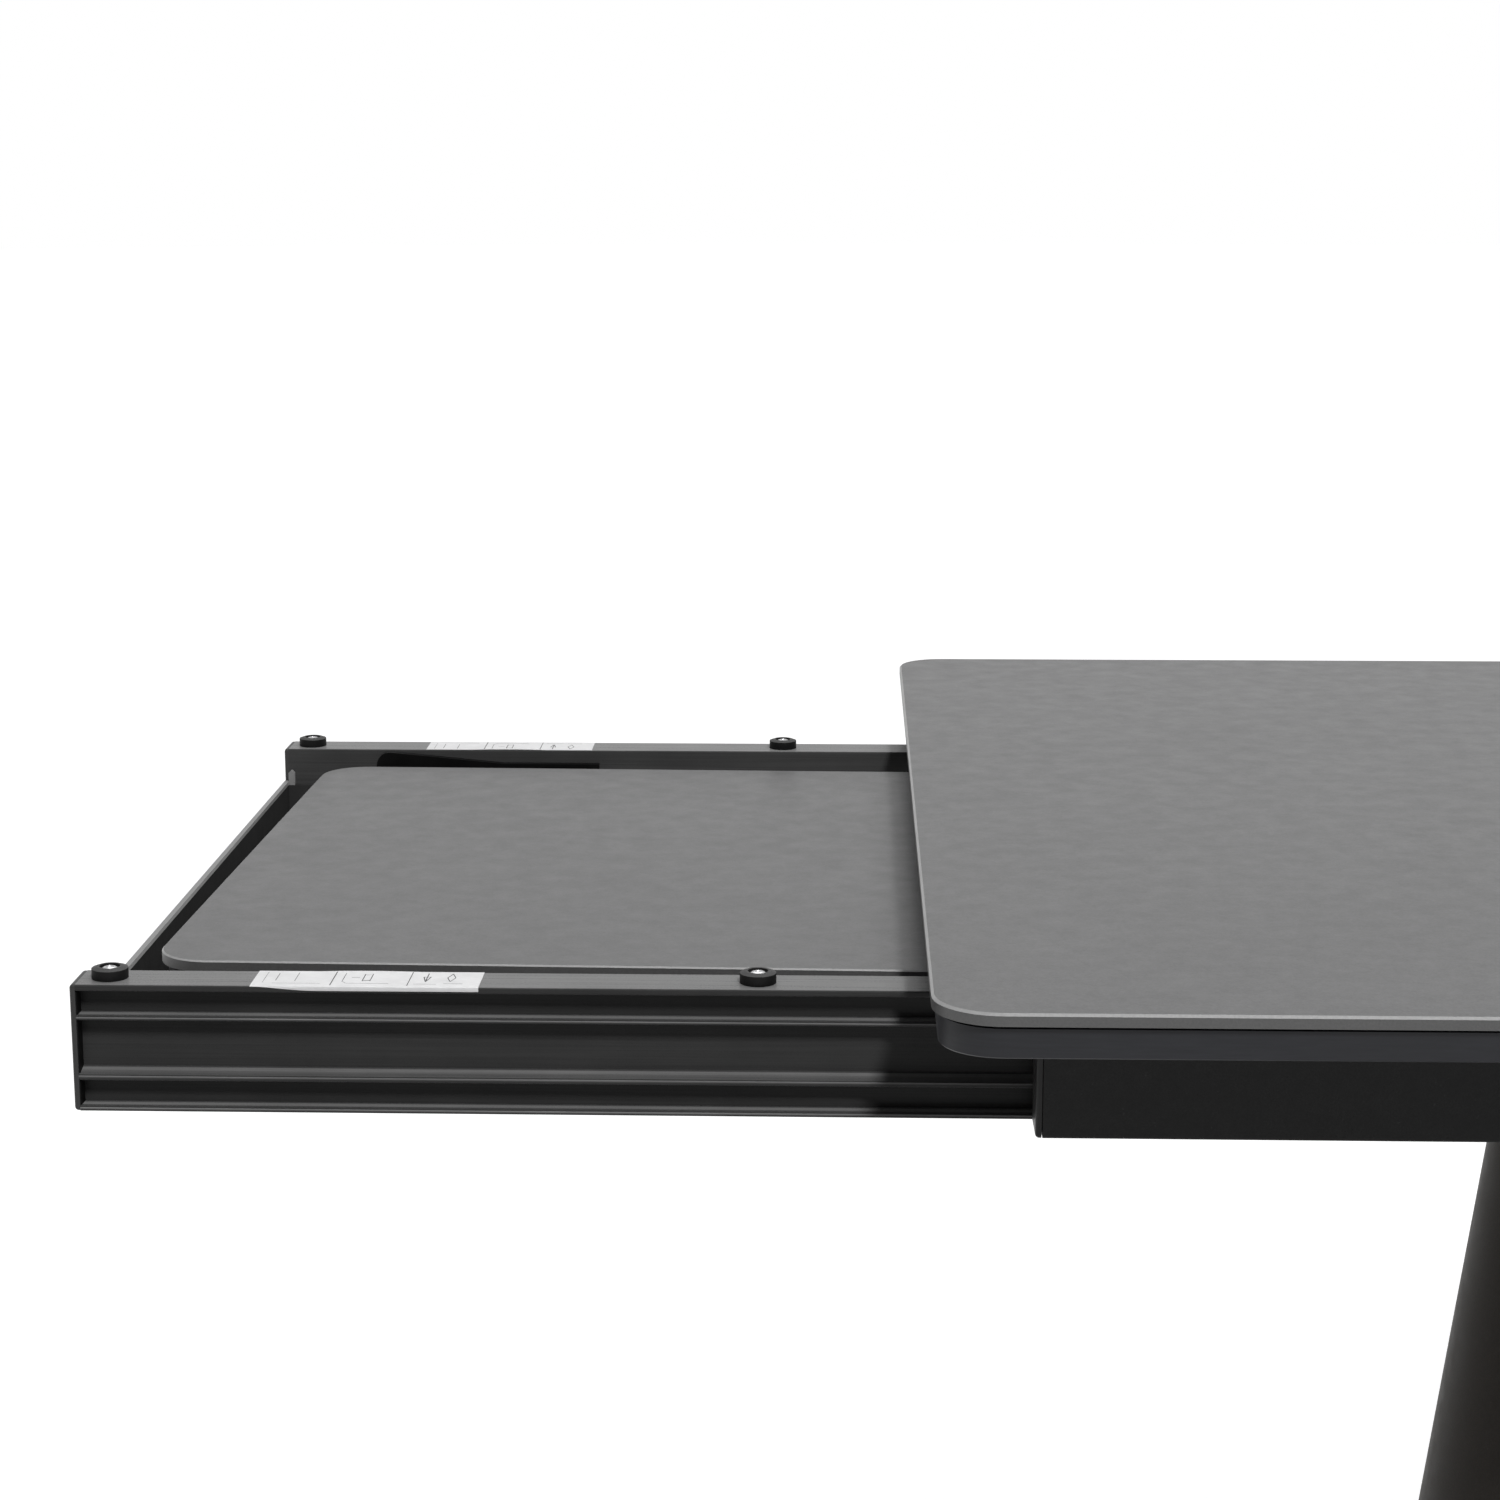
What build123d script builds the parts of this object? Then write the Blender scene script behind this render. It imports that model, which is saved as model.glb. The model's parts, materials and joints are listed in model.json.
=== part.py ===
from build123d import *
import os

# Extending table, shown with its extension frame pulled out at the left end and
# the spare leaf stored between the two rails of that frame.
#
# Millimetres, +Z up, +X to the right along the table, +Y to the back. The origin
# is on the floor under the middle of the pulled-out table.
#
# The base plate, columns, side beams and main top stand still. The frame (two
# grooved rails and their cross bars) slides along X on glide blocks held by the
# side beams, and the leaf slides along X inside the frame.

# ---------------------------------------------------------------- overall
table_length = 1400.0
table_depth = 900.0
table_height = 755.0
extension = 417.6              # from the top's left end to the frame's left end
closed_setback = 22.4          # frame's end inside the top's left end when closed

# ---------------------------------------------------------------- main top
top_corner_radius = 31.0
slab_thickness = 6.0
slab_bevel = 1.2               # along the main top's upper edge
bond_thickness = 1.8           # bonding layer between slab and board
bond_inset = 7.0
board_thickness = 13.6
board_inset = 3.0
board_arris = 0.6              # chamfer on the board's lower edge

# ---------------------------------------------------------------- leaf
leaf_width = 481.0
leaf_corner_radius = 28.0
leaf_bevel = 0.8               # along the leaf's upper edge
leaf_board_thickness = 7.8
leaf_end_gap = 30.0            # frame's left end to the leaf's left end
leaf_glide_gap = 0.3           # leaf's underside above the strips it slides on
leaf_side_gap = 33.2           # leaf's long edge to the rail's inner face
leaf_skew_degrees = 1.25       # the stored leaf lies loosely, this far out of square
leaf_turn_offset = 265.0       # leaf's left end to the point it is turned about
landing_block_size = 25.0

# ---------------------------------------------------------------- rails
rail_length = 1120.0
rail_height = 64.6
rail_width = 27.5
rail_drop = 33.3               # table's surface to the rail's top
rail_wall = 2.2
groove_depth = 9.0
upper_lip = 3.3                # heights of the ribs and grooves, from the top down
upper_groove = 12.5
upper_rib = 2.4
lower_rib = 2.9
lower_rib_slope = 2.4          # rise of the lower rib's top towards the web
lower_groove = 13.1
bottom_flange = 2.7
rail_edge_radius = 1.1
rail_cap_thickness = 3.0
cap_edge_radius = 2.0          # outer edges of every push-in end cap
spigot_length = 8.0            # of every push-in end cap
spigot_gap = 0.3

# ---------------------------------------------------------------- frame's bars
end_bar_drop = 21.7            # rail's top to the strip on the end bar
end_bar_sheet = 3.0
end_bar_flange = 25.0
end_bar_tab = 32.0
strip_height = 2.5             # plastic strip on top of the end bar
strip_lug_height = 7.5         # of the strip's lugs, beside the rails' caps
strip_lug_length = 4.2
strip_lug_chamfer = 1.8
mid_bar_offset = 517.0         # frame's left end to the middle bar
mid_bar_width = 30.0
mid_bar_height = 34.0
mid_strip_thickness = 2.0
mid_strip_half_length = 225.0
inner_bar_width = 60.0
inner_bar_height = 36.0
bar_wall = 2.5

# ---------------------------------------------------------------- leaf guides
guide_offset = 63.5            # frame's left end to the guide's nose
guide_length = 150.0
guide_wall = 5.0
guide_nose_drop = 1.0          # rail's top to the guide's highest point
guide_tail_drop = 8.4          # rail's top to the guide's long tail
guide_nose_radius = 9.0
guide_slope_length = 86.0
guide_ledge_thickness = 4.0
guide_ledge_overlap = 14.0     # under the leaf's edge

# ---------------------------------------------------------------- bumpers
bumper_spacing = 319.5
bumper_radius = 9.0
bumper_height = 6.0
bumper_chamfer = 1.2
bumper_recess_radius = 4.9
bumper_recess_depth = 2.4
bumper_screw_head_radius = 4.3
bumper_screw_head_height = 2.2
bumper_screw_shank_radius = 2.0
bumper_screw_length = 13.0
screw_hole_gap = 0.1

# ---------------------------------------------------------------- labels
label_length = 112.0
label_thickness = 0.3
front_label_offset = 145.0     # frame's left end to the label's middle
back_label_offset = 152.4

# ---------------------------------------------------------------- side beams
beam_end_inset = 53.2          # top's end to the beam's capped end
beam_width = 25.0
beam_wall = 3.0
beam_edge_radius = 1.5
beam_cap_thickness = 3.0
beam_cap_seam = 0.5            # open seam between the cap and the beam
beam_rail_gap = 3.0
beam_below_rail = 0.2          # beam's underside below the rail's underside

# ---------------------------------------------------------------- glides and stops
glide_length = 80.0
glide_inset = 10.0             # beam's end to the outer glide block
glide_gap = 0.3
glide_lead_in = 2.0
stop_length = 20.0
stop_gap = 0.5
buffer_radius = 8.0
buffer_thickness = 6.0

# ---------------------------------------------------------------- cross members
cross_beam_width = 40.0
cross_beam_height = 56.0
saddle_width = 160.0           # plates under the beams that carry them on the columns
saddle_thickness = 10.0
saddle_bolt_offset = 50.0      # column's axis to the bolts beside it
saddle_bolt_head_radius = 7.0
saddle_bolt_head_height = 6.0
saddle_bolt_radius = 4.0
access_hole_radius = 11.0

# ---------------------------------------------------------------- columns and base plate
column_end_inset = 430.0       # top's end to the column's axis
column_top_radius = 73.0
column_base_radius = 154.0
column_wall = 2.0
column_top_plate = 8.0
column_ring_width = 30.0       # flange inside the column's foot
column_ring_thickness = 6.0
column_bolt_circle = 45.0      # radius at which the bolts stand in the top plate
column_bolt_head_radius = 7.0
column_bolt_radius = 4.0
countersink_depth = 3.5
plate_margin = 40.0            # base plate's end beyond the column's foot
plate_depth = 560.0
plate_thickness = 8.0
plate_corner_radius = 120.0
plate_arris = 1.5
foot_radius = 22.0
foot_height = 4.0
foot_chamfer = 1.0
foot_inset = 62.0              # base plate's edges to the foot's centre

# ---------------------------------------------------------------- small screws
frame_screw_head_radius = 4.5
frame_screw_head_height = 2.6
frame_screw_shank_radius = 2.5
frame_screw_length = 12.0
top_screw_head_radius = 5.5
top_screw_head_height = 3.5
top_screw_shank_radius = 2.5
top_screw_bite = 10.0          # screw's end inside the board
top_screws_per_beam = 4
top_screw_end_inset = 110.0

# ---------------------------------------------------------------- worked-out places
extended_length = table_length + extension
frame_left = -extended_length / 2
top_left = frame_left + extension
top_right = top_left + table_length
top_centre = (top_left + top_right) / 2
frame_travel = extension + closed_setback

board_bottom = table_height - slab_thickness - bond_thickness - board_thickness

rail_top = table_height - rail_drop
rail_bottom = rail_top - rail_height
rail_left = frame_left + rail_cap_thickness
rail_right = rail_left + rail_length
rail_inner_half_span = leaf_width / 2 + leaf_side_gap
rail_outer_half_span = rail_inner_half_span + rail_width
rail_centre_half_span = rail_outer_half_span - rail_width / 2
web_half_span = rail_outer_half_span - groove_depth

channel_top = rail_top - upper_lip - upper_groove - upper_rib
lower_rib_bottom = rail_bottom + bottom_flange + lower_groove
channel_bottom = lower_rib_bottom + lower_rib

leaf_length = table_depth
leaf_thickness = slab_thickness + bond_thickness + leaf_board_thickness
leaf_seat = rail_top - end_bar_drop
leaf_bottom = leaf_seat + leaf_glide_gap
leaf_left = frame_left + leaf_end_gap
leaf_centre = leaf_left + leaf_length / 2
landing_block_height = rail_drop - bumper_height - leaf_thickness

bumper_centre = top_left - leaf_width / 2
bumper_xs = (bumper_centre - bumper_spacing / 2, bumper_centre + bumper_spacing / 2)

beam_inner_half_span = rail_outer_half_span + beam_rail_gap
beam_outer_half_span = beam_inner_half_span + beam_width
beam_bottom = rail_bottom - beam_below_rail
beam_height = board_bottom - beam_bottom
beam_left = top_left + beam_end_inset
beam_right = top_right - beam_end_inset
beam_mid_y = beam_inner_half_span + beam_width / 2
beam_mid_z = (board_bottom + beam_bottom) / 2

saddle_bottom = beam_bottom - saddle_thickness
plate_top = foot_height + plate_thickness
column_height = saddle_bottom - plate_top
column_xs = (top_left + column_end_inset, top_right - column_end_inset)
plate_half_length = table_length / 2 - column_end_inset + column_base_radius + plate_margin


# ---------------------------------------------------------------- helpers
def box_between(x_range, y_range, z_range):
    """Box between a low and a high value on each axis."""
    ranges = (x_range, y_range, z_range)
    centre = [(low + high) / 2 for low, high in ranges]
    sizes = [high - low for low, high in ranges]
    return Pos(*centre) * Box(*sizes)


def to_back(part):
    """The same piece on the back half of the table."""
    return mirror(part, about=Plane.XZ)


def to_right(part):
    """The same piece at the other end of the main top."""
    return mirror(part, about=Plane.YZ.offset(top_centre))


def rounded_plate(length, width, corner_radius, thickness):
    """Flat plate on z = 0 with rounded corners."""
    return extrude(RectangleRounded(length, width, corner_radius), thickness)


def board_plate(length, width, corner_radius, thickness):
    """Board on z = 0 with the sharp corner of its lower edge taken off."""
    plate = rounded_plate(length, width, corner_radius, thickness)
    return chamfer(plate.edges().group_by(Axis.Z)[0], board_arris)


def bevelled_slab(length, width, corner_radius, bevel):
    """Slab on z = 0 with its upper edge polished to a bevel."""
    plate = rounded_plate(length, width, corner_radius, slab_thickness)
    return chamfer(plate.edges().group_by(Axis.Z)[-1], bevel)


def tube_along_y(x_range, y_range, z_range, wall):
    """Square-edged tube along Y."""
    (x_low, x_high), (z_low, z_high) = x_range, z_range
    bore = box_between((x_low + wall, x_high - wall), y_range, (z_low + wall, z_high - wall))
    return box_between(x_range, y_range, z_range) - bore


def end_cap(x_range, y_range, z_range):
    """Plate across a left end, its outer face's edges and its corners rounded."""
    plate = box_between(x_range, y_range, z_range)
    outer_edges, corner_edges, _ = plate.edges().group_by(Axis.X)
    return fillet(outer_edges + corner_edges, cap_edge_radius)


def cone_between(x, z_range, radii):
    """Upright cone on the table's centre line, its lower and upper radius given."""
    low, high = z_range
    return Pos(x, 0, (low + high) / 2) * Cone(*radii, high - low)


def countersunk_bolt(length):
    """Bolt with its flat head up, and the head's face on z = 0."""
    head = Cone(column_bolt_radius, column_bolt_head_radius, countersink_depth)
    shank = Cylinder(column_bolt_radius, length)
    return Pos(0, 0, -countersink_depth / 2) * head + Pos(0, 0, -length / 2) * shank


def countersunk_hole(length):
    """Hole for such a bolt, wider by the screw holes' gap."""
    head = Cone(
        column_bolt_radius + screw_hole_gap,
        column_bolt_head_radius + screw_hole_gap,
        countersink_depth,
    )
    shank = Cylinder(column_bolt_radius + screw_hole_gap, 2 * length)
    return Pos(0, 0, -countersink_depth / 2) * head + shank


def screw(head_radius, head_height, shank_radius, shank_length):
    """Screw with its head up, and the head's underside on z = 0."""
    head = Pos(0, 0, head_height / 2) * Cylinder(head_radius, head_height)
    head = chamfer(head.edges().group_by(Axis.Z)[-1], head_height / 4)
    shank = Pos(0, 0, -shank_length / 2) * Cylinder(shank_radius, shank_length)
    return head + shank


# ---------------------------------------------------------------- main top
def main_top_slab():
    slab = bevelled_slab(table_length, table_depth, top_corner_radius, slab_bevel)
    return Pos(top_centre, 0, table_height - slab_thickness) * slab


def main_top_bond():
    layer = rounded_plate(
        table_length - 2 * bond_inset,
        table_depth - 2 * bond_inset,
        top_corner_radius - bond_inset,
        bond_thickness,
    )
    return Pos(top_centre, 0, board_bottom + board_thickness) * layer


def top_screw_xs():
    """Places of the screws along one beam."""
    first = beam_left + top_screw_end_inset
    pitch = (beam_right - beam_left - 2 * top_screw_end_inset) / (top_screws_per_beam - 1)
    return [first + index * pitch for index in range(top_screws_per_beam)]


def main_top_board():
    board = board_plate(
        table_length - 2 * board_inset,
        table_depth - 2 * board_inset,
        top_corner_radius - board_inset,
        board_thickness,
    )
    board = Pos(top_centre, 0, board_bottom) * board
    pilot = Cylinder(top_screw_shank_radius + screw_hole_gap, 2 * top_screw_bite)
    for x in top_screw_xs():
        for y in (-beam_mid_y, beam_mid_y):
            board -= Pos(x, y, board_bottom) * pilot
    return board


# ---------------------------------------------------------------- side beams
def saddle_bolt_xs():
    return [x + side * saddle_bolt_offset for x in column_xs for side in (-1, 1)]


def side_beam_front():
    cap_length = beam_cap_thickness + beam_cap_seam
    length = beam_right - beam_left - 2 * cap_length
    outline = RectangleRounded(beam_width, beam_height, beam_edge_radius)
    bore = Rectangle(beam_width - 2 * beam_wall, beam_height - 2 * beam_wall)
    section = Plane.YZ.offset(beam_left + cap_length) * (outline - bore)
    beam = Pos(0, -beam_mid_y, beam_mid_z) * extrude(section, length)
    screw_hole = Cylinder(top_screw_shank_radius + screw_hole_gap, 3 * beam_wall)
    for x in top_screw_xs():
        beam -= Pos(x, -beam_mid_y, board_bottom) * screw_hole
    bolt_hole = Cylinder(saddle_bolt_radius + screw_hole_gap, 3 * beam_wall)
    access_hole = Rot(90, 0, 0) * Cylinder(access_hole_radius, 3 * beam_wall)
    for x in saddle_bolt_xs():
        beam -= Pos(x, -beam_mid_y, beam_bottom) * bolt_hole
        beam -= Pos(x, -beam_inner_half_span, beam_mid_z) * access_hole
    return beam


def beam_cap_front_left():
    """Push-in cap on the beam's end, as large as the beam's whole section."""
    seat = beam_left + beam_cap_thickness
    plate = end_cap(
        (beam_left, seat),
        (-beam_outer_half_span, -beam_inner_half_span),
        (beam_bottom, board_bottom),
    )
    margin = beam_wall + spigot_gap
    plug = box_between(
        (seat, seat + spigot_length),
        (-beam_outer_half_span + margin, -beam_inner_half_span - margin),
        (beam_bottom + margin, board_bottom - margin),
    )
    return plate + plug


def beam_top_screws():
    """All the screws that hold the top's board to the beams, heads inside the beams."""
    fixing = Rot(180, 0, 0) * screw(
        top_screw_head_radius,
        top_screw_head_height,
        top_screw_shank_radius,
        beam_wall + top_screw_bite - screw_hole_gap,
    )
    seat = board_bottom - beam_wall
    places = [(x, y) for x in top_screw_xs() for y in (-beam_mid_y, beam_mid_y)]
    return Compound(children=[Pos(x, y, seat) * fixing for x, y in places])


# ---------------------------------------------------------------- cross members
def closing_buffer_front():
    face = rail_right + frame_travel + stop_gap
    disc = Rot(0, 90, 0) * Cylinder(buffer_radius, buffer_thickness)
    height = (rail_top + rail_bottom) / 2
    return Pos(face + buffer_thickness / 2, -rail_centre_half_span, height) * disc


def cross_beam():
    left = rail_right + frame_travel + stop_gap + buffer_thickness
    return tube_along_y(
        (left, left + cross_beam_width),
        (-beam_inner_half_span, beam_inner_half_span),
        (rail_bottom, rail_bottom + cross_beam_height),
        bar_wall,
    )


def column_bolt_places(x, radius):
    """X and Y of the bolts on a circle round a column's axis."""
    step = radius / 2**0.5
    return [(x + x_side * step, y_side * step) for x_side in (-1, 1) for y_side in (-1, 1)]


def saddle_left():
    """Plate across the undersides of both beams, bolted to them and to the column."""
    x = column_xs[0]
    plate = box_between(
        (x - saddle_width / 2, x + saddle_width / 2),
        (-beam_outer_half_span, beam_outer_half_span),
        (saddle_bottom, beam_bottom),
    )
    hole = Cylinder(saddle_bolt_radius + screw_hole_gap, 3 * saddle_thickness)
    for side in (-1, 1):
        for y in (-beam_mid_y, beam_mid_y):
            plate -= Pos(x + side * saddle_bolt_offset, y, beam_bottom) * hole
    for place in column_bolt_places(x, column_bolt_circle):
        plate -= Pos(*place, beam_bottom) * countersunk_hole(saddle_thickness)
    return plate


def saddle_bolts():
    """The bolts through the beams' floors into the saddles, heads inside the beams."""
    bolt = screw(
        saddle_bolt_head_radius,
        saddle_bolt_head_height,
        saddle_bolt_radius,
        beam_wall + saddle_thickness,
    )
    places = [(x, y) for x in saddle_bolt_xs() for y in (-beam_mid_y, beam_mid_y)]
    return Compound(children=[Pos(x, y, beam_bottom + beam_wall) * bolt for x, y in places])


# ---------------------------------------------------------------- glides
def glide_block(left):
    """Block on the front beam that fills the rail's middle groove and carries the rail."""
    block = box_between(
        (left, left + glide_length),
        (-beam_inner_half_span, -web_half_span - glide_gap),
        (channel_bottom + lower_rib_slope + glide_gap, channel_top - glide_gap),
    )
    lead_in = block.faces().sort_by(Axis.Y)[-1].edges().filter_by(Axis.Z)
    return chamfer(lead_in, glide_lead_in)


def glide_block_front_outer():
    return glide_block(beam_left + glide_inset)


def glide_block_front_inner():
    return glide_block(rail_right - stop_length - stop_gap - glide_length)


# ---------------------------------------------------------------- columns and base plate
def column_radius(height):
    """Outer radius of a column at a height above its foot."""
    return column_base_radius + (column_top_radius - column_base_radius) * height / column_height


def ring_bolt_circle():
    return column_base_radius - column_wall - column_ring_width / 2


def column_left():
    """Tapered sheet column with a closed top plate and a flange inside its open foot."""
    x = column_xs[0]
    hollow_top = column_height - column_top_plate
    column = cone_between(x, (plate_top, saddle_bottom), (column_base_radius, column_top_radius))
    column -= cone_between(
        x,
        (plate_top + column_ring_thickness, plate_top + hollow_top),
        (column_radius(column_ring_thickness) - column_wall, column_radius(hollow_top) - column_wall),
    )
    foot_opening = column_base_radius - column_wall - column_ring_width
    column -= Pos(x, 0, plate_top) * Cylinder(foot_opening, 3 * column_ring_thickness)
    hole = Cylinder(column_bolt_radius + screw_hole_gap, 3 * column_top_plate)
    for place in column_bolt_places(x, column_bolt_circle):
        column -= Pos(*place, saddle_bottom) * hole
    for place in column_bolt_places(x, ring_bolt_circle()):
        column -= Pos(*place, plate_top) * hole
    return column


def column_bolts():
    """Flat-headed bolts into the columns: down through the saddles, up through the plate."""
    down = countersunk_bolt(saddle_thickness + column_top_plate)
    up = Rot(180, 0, 0) * countersunk_bolt(plate_thickness + column_ring_thickness)
    bolts = []
    for x in column_xs:
        bolts += [Pos(*place, beam_bottom) * down for place in column_bolt_places(x, column_bolt_circle)]
        bolts += [Pos(*place, foot_height) * up for place in column_bolt_places(x, ring_bolt_circle())]
    return Compound(children=bolts)


def base_plate():
    plate = rounded_plate(2 * plate_half_length, plate_depth, plate_corner_radius, plate_thickness)
    plate = chamfer(plate.edges().group_by(Axis.Z)[-1], plate_arris)
    plate = Pos(top_centre, 0, foot_height) * plate
    hole = Rot(180, 0, 0) * countersunk_hole(plate_thickness)
    for x in column_xs:
        for place in column_bolt_places(x, ring_bolt_circle()):
            plate -= Pos(*place, foot_height) * hole
    return plate


def foot_front_left():
    pad = Pos(0, 0, foot_height / 2) * Cylinder(foot_radius, foot_height)
    pad = chamfer(pad.edges().group_by(Axis.Z)[0], foot_chamfer)
    x = top_centre - plate_half_length + foot_inset
    return Pos(x, -plate_depth / 2 + foot_inset, 0) * pad


# ---------------------------------------------------------------- rails
def end_bar_screw_places():
    """X and Z of the screws through each end tab of the end bar."""
    x = frame_left + (rail_cap_thickness + spigot_length + end_bar_tab) / 2
    low = rail_bottom + end_bar_sheet + 2.5 * frame_screw_head_radius
    high = leaf_seat - strip_height - 2.5 * frame_screw_head_radius
    return [(x, low), (x, high)]


def rail_front():
    """Grooved aluminium rail: a hollow back part and a web with two ribs at the front."""
    outer = -rail_outer_half_span
    web = -web_half_span
    inner = -rail_inner_half_span
    outline = Polyline(
        (inner, rail_top),
        (outer, rail_top),
        (outer, rail_top - upper_lip),
        (web, rail_top - upper_lip),
        (web, channel_top + upper_rib),
        (outer, channel_top + upper_rib),
        (outer, channel_top),
        (web, channel_top),
        (web, channel_bottom + lower_rib_slope),
        (outer, channel_bottom),
        (outer, lower_rib_bottom),
        (web, lower_rib_bottom),
        (web, rail_bottom + bottom_flange),
        (outer, rail_bottom + bottom_flange),
        (outer, rail_bottom),
        (inner, rail_bottom),
        close=True,
    )
    section = make_face(outline)
    outer_corners, _, inner_corners = section.vertices().group_by(Axis.X)
    section = fillet(outer_corners + inner_corners, rail_edge_radius)
    rail = extrude(Plane.YZ.offset(rail_left) * section, rail_length, dir=(1, 0, 0))
    rail -= box_between(
        (rail_left, rail_right),
        (web + rail_wall, inner - rail_wall),
        (rail_bottom + rail_wall, rail_top - rail_wall),
    )
    bumper_hole = Cylinder(bumper_screw_shank_radius + screw_hole_gap, 3 * rail_wall)
    for x in bumper_xs:
        rail -= Pos(x, -rail_centre_half_span, rail_top) * bumper_hole
    bar_hole = Rot(90, 0, 0) * Cylinder(frame_screw_shank_radius + screw_hole_gap, 3 * rail_wall)
    for x, z in end_bar_screw_places():
        rail -= Pos(x, inner, z) * bar_hole
    return rail


def rail_cap_front():
    """Push-in cap on the rail's outer end, as large as the rail's whole section."""
    plate = end_cap(
        (frame_left, rail_left),
        (-rail_outer_half_span, -rail_inner_half_span),
        (rail_bottom, rail_top),
    )
    margin = rail_wall + spigot_gap
    plug = box_between(
        (rail_left, rail_left + spigot_length),
        (-web_half_span + margin, -rail_inner_half_span - margin),
        (rail_bottom + margin, rail_top - margin),
    )
    return plate + plug


def travel_stop_front():
    """Block in the rail's middle groove that meets the inner glide when pulled out."""
    return box_between(
        (rail_right - stop_length, rail_right),
        (-rail_outer_half_span, -web_half_span),
        (channel_bottom + lower_rib_slope + glide_gap, channel_top - glide_gap),
    )


# ---------------------------------------------------------------- frame's bars
def end_bar():
    """Folded sheet bar across the frame's outer end, with a tab against each rail."""
    top = leaf_seat - strip_height
    span = (-rail_inner_half_span, rail_inner_half_span)
    bar = box_between((frame_left, frame_left + end_bar_sheet), span, (rail_bottom, top))
    bar += box_between(
        (frame_left, frame_left + end_bar_flange), span, (rail_bottom, rail_bottom + end_bar_sheet)
    )
    tab = box_between(
        (frame_left, frame_left + end_bar_tab),
        (-rail_inner_half_span, -rail_inner_half_span + end_bar_sheet),
        (rail_bottom, top),
    )
    hole = Rot(90, 0, 0) * Cylinder(frame_screw_shank_radius + screw_hole_gap, 3 * end_bar_sheet)
    for x, z in end_bar_screw_places():
        tab -= Pos(x, -rail_inner_half_span, z) * hole
    return bar + tab + to_back(tab)


def end_bar_strip():
    """Plastic strip on the end bar's upper edge, with a raised lug at each rail."""
    strip = box_between(
        (frame_left, frame_left + end_bar_sheet),
        (-rail_inner_half_span, rail_inner_half_span),
        (leaf_seat - strip_height, leaf_seat),
    )
    lug = box_between(
        (frame_left + end_bar_sheet, frame_left + end_bar_sheet + strip_lug_length),
        (-rail_inner_half_span, -rail_inner_half_span + end_bar_sheet),
        (leaf_seat - strip_height, leaf_seat + strip_lug_height),
    )
    lug = chamfer(lug.edges().filter_by(Axis.Y).group_by(Axis.Z)[-1], strip_lug_chamfer)
    return strip + lug + to_back(lug)


def end_bar_screws():
    """The screws through the end bar's tabs into the rails."""
    fixing = screw(
        frame_screw_head_radius,
        frame_screw_head_height,
        frame_screw_shank_radius,
        frame_screw_length,
    )
    face = rail_inner_half_span - end_bar_sheet
    front = [Pos(x, -face, z) * Rot(-90, 0, 0) * fixing for x, z in end_bar_screw_places()]
    back = [Pos(x, face, z) * Rot(90, 0, 0) * fixing for x, z in end_bar_screw_places()]
    return Compound(children=front + back)


def mid_bar():
    left = frame_left + mid_bar_offset
    top = leaf_seat - mid_strip_thickness
    return tube_along_y(
        (left, left + mid_bar_width),
        (-rail_inner_half_span, rail_inner_half_span),
        (top - mid_bar_height, top),
        bar_wall,
    )


def mid_bar_strip():
    left = frame_left + mid_bar_offset
    return box_between(
        (left, left + mid_bar_width),
        (-mid_strip_half_length, mid_strip_half_length),
        (leaf_seat - mid_strip_thickness, leaf_seat),
    )


def inner_bar():
    return tube_along_y(
        (rail_right - inner_bar_width, rail_right),
        (-rail_inner_half_span, rail_inner_half_span),
        (rail_bottom, rail_bottom + inner_bar_height),
        bar_wall,
    )


# ---------------------------------------------------------------- leaf guides
def leaf_guide_front():
    """Guide on the rail's inner face: a wedge beside the leaf and a ledge under its edge."""
    left = frame_left + guide_offset
    right = left + guide_length
    base = leaf_seat - guide_ledge_thickness
    nose = rail_top - guide_nose_drop
    tail = rail_top - guide_tail_drop
    outline = [
        Polyline(
            (left + guide_nose_radius, nose),
            (left + guide_slope_length, tail),
            (right, tail),
            (right, base),
            (left, base),
            (left, nose - guide_nose_radius),
        ),
        RadiusArc(
            (left, nose - guide_nose_radius), (left + guide_nose_radius, nose), guide_nose_radius
        ),
    ]
    back_face = Plane(origin=(0, -rail_inner_half_span, 0), x_dir=(1, 0, 0), z_dir=(0, -1, 0))
    wedge = extrude(back_face * make_face(outline), guide_wall, dir=(0, 1, 0))
    ledge = box_between(
        (left, right),
        (-rail_inner_half_span, -leaf_width / 2 + guide_ledge_overlap),
        (base, leaf_seat),
    )
    return wedge + ledge


# ---------------------------------------------------------------- bumpers and labels
def bumper_front(x):
    """Rubber bumper with a recess for its screw."""
    disc = Pos(0, 0, bumper_height / 2) * Cylinder(bumper_radius, bumper_height)
    disc = chamfer(disc.edges().group_by(Axis.Z)[-1], bumper_chamfer)
    disc -= Cylinder(bumper_screw_shank_radius + screw_hole_gap, 3 * bumper_height)
    recess = Cylinder(bumper_recess_radius, 2 * bumper_recess_depth)
    disc -= Pos(0, 0, bumper_height) * recess
    return Pos(x, -rail_centre_half_span, rail_top) * disc


def bumper_screw_front(x):
    fixing = screw(
        bumper_screw_head_radius,
        bumper_screw_head_height,
        bumper_screw_shank_radius,
        bumper_screw_length,
    )
    seat = rail_top + bumper_height - bumper_recess_depth
    return Pos(x, -rail_centre_half_span, seat) * fixing


def label(offset, y):
    """Bare paper label across the flat of a rail's top."""
    middle = Pos(frame_left + offset, y, rail_top + label_thickness / 2)
    return middle * Box(label_length, rail_width - 2 * rail_edge_radius, label_thickness)


# ---------------------------------------------------------------- leaf
def as_stored(part):
    """The leaf's piece turned a little in the frame, as the loose leaf lies."""
    turn_axis = Axis((leaf_left + leaf_turn_offset, 0, 0), (0, 0, -1))
    return part.rotate(turn_axis, leaf_skew_degrees)


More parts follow.
